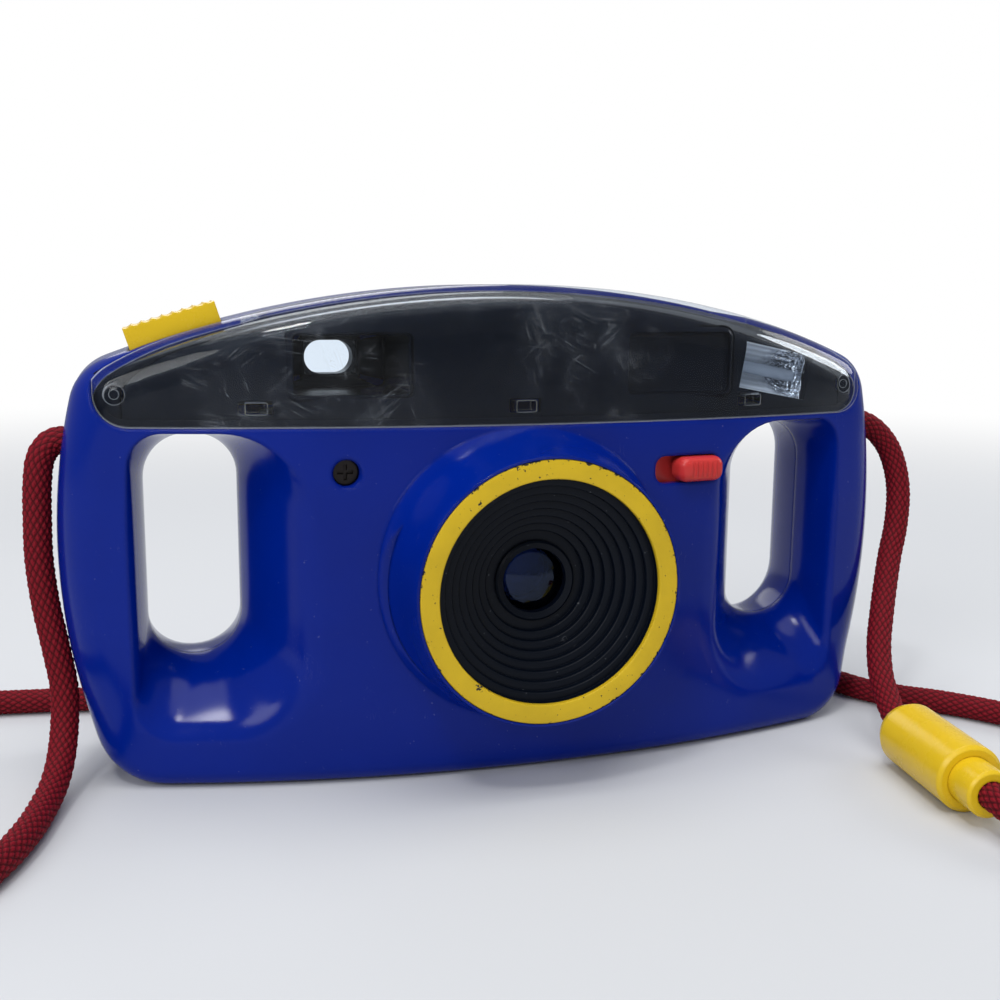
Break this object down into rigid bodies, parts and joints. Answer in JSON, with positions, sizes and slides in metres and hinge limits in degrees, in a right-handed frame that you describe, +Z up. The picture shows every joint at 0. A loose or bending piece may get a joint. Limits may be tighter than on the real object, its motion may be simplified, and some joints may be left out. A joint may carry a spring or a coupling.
{
  "type": "film camera",
  "caption": "Child's film camera with a built-in flash, two grip handles, a hooded lens, a see-through viewfinder under a clear top cover and a corded neck strap.",
  "frame": {"origin": "on the flat base, under the lens axis, on the joint between the two shells", "axes": "+X to the viewer's right along the longest side, +Y away from the viewer from lens to film door, +Z up"},
  "size_m": [0.2974, 0.16, 0.11],
  "materials": {
    "blue_plastic": "gloss",
    "clear_plastic": "clear",
    "lens_glass": "coated",
    "black_gloss": "gloss",
    "black_matt": "matt",
    "yellow_plastic": "gloss",
    "battery_jacket": "satin",
    "red_plastic": "gloss",
    "red_cord": "braided",
    "steel": "plain",
    "dark_screw": "dark",
    "reflector": "bright",
    "board": "matt"
  },
  "bodies": {
    "camera": {"front_shell": "blue_plastic", "rear_shell": "blue_plastic", "top_cover": "clear_plastic", "viewfinder_mask": "black_gloss", "lens_ring": "yellow_plastic", "lens_hood": "black_matt", "lens_retainer": "black_matt", "taking_lens": "lens_glass", "shutter_plate": "black_matt", "release_spring": "steel", "flash_reflector": "reflector", "flash_tube": "lens_glass", "flash_board": "board", "flash_capacitor": "black_gloss", "film_frame": "black_matt", "door_hinge_pin": "steel", "eyepiece": "black_matt", "eyepiece_lens": "clear_plastic", "battery_cell": "battery_jacket", "battery_contacts": "steel", "front_screw": "dark_screw", "case_screws": "dark_screw", "strap_knots": "red_cord", "strap_long": "red_cord", "strap_short": "red_cord", "connector_barrel": "yellow_plastic", "connector_plug": "yellow_plastic"},
    "release": {"shutter_button": "yellow_plastic", "release_bar": "black_matt"},
    "blade": {"shutter_blade": "steel"},
    "switch": {"flash_switch": "red_plastic"},
    "door": {"film_door": "blue_plastic", "film_window": "clear_plastic"},
    "advance": {"advance_wheel": "black_matt", "drive_pinion": "yellow_plastic"}
  },
  "joints": [
    {"name": "button_press", "type": "slide", "parent": "camera", "child": "release", "axis": [0.2968, 0, -0.9549], "range_m": [0, 0.0026], "stiffness_N_per_m": 300, "springref_m": -0.001, "deforming": ["release_spring"]},
    {"name": "blade_swing", "type": "hinge", "parent": "camera", "child": "blade", "pos_m": [-0.016, -0.0198, 0.058], "axis": [0, -1, 0], "range_deg": [0, 29.77]},
    {"name": "switch_slide", "type": "slide", "parent": "camera", "child": "switch", "axis": [-0.992, -0.126, 0], "range_m": [0, 0.005]},
    {"name": "door_swing", "type": "hinge", "parent": "camera", "child": "door", "pos_m": [0.0472, 0.0186, 0.04], "axis": [0, 0, -1], "range_deg": [0, 110]},
    {"name": "wheel_turn", "type": "hinge", "parent": "camera", "child": "advance", "pos_m": [-0.024, 0.0085, 0.06], "axis": [0, 0, 1], "continuous": true}
  ],
  "couplings": [
    {"joint": "blade_swing", "follows": "button_press", "rad_per_m": 199.86}
  ]
}
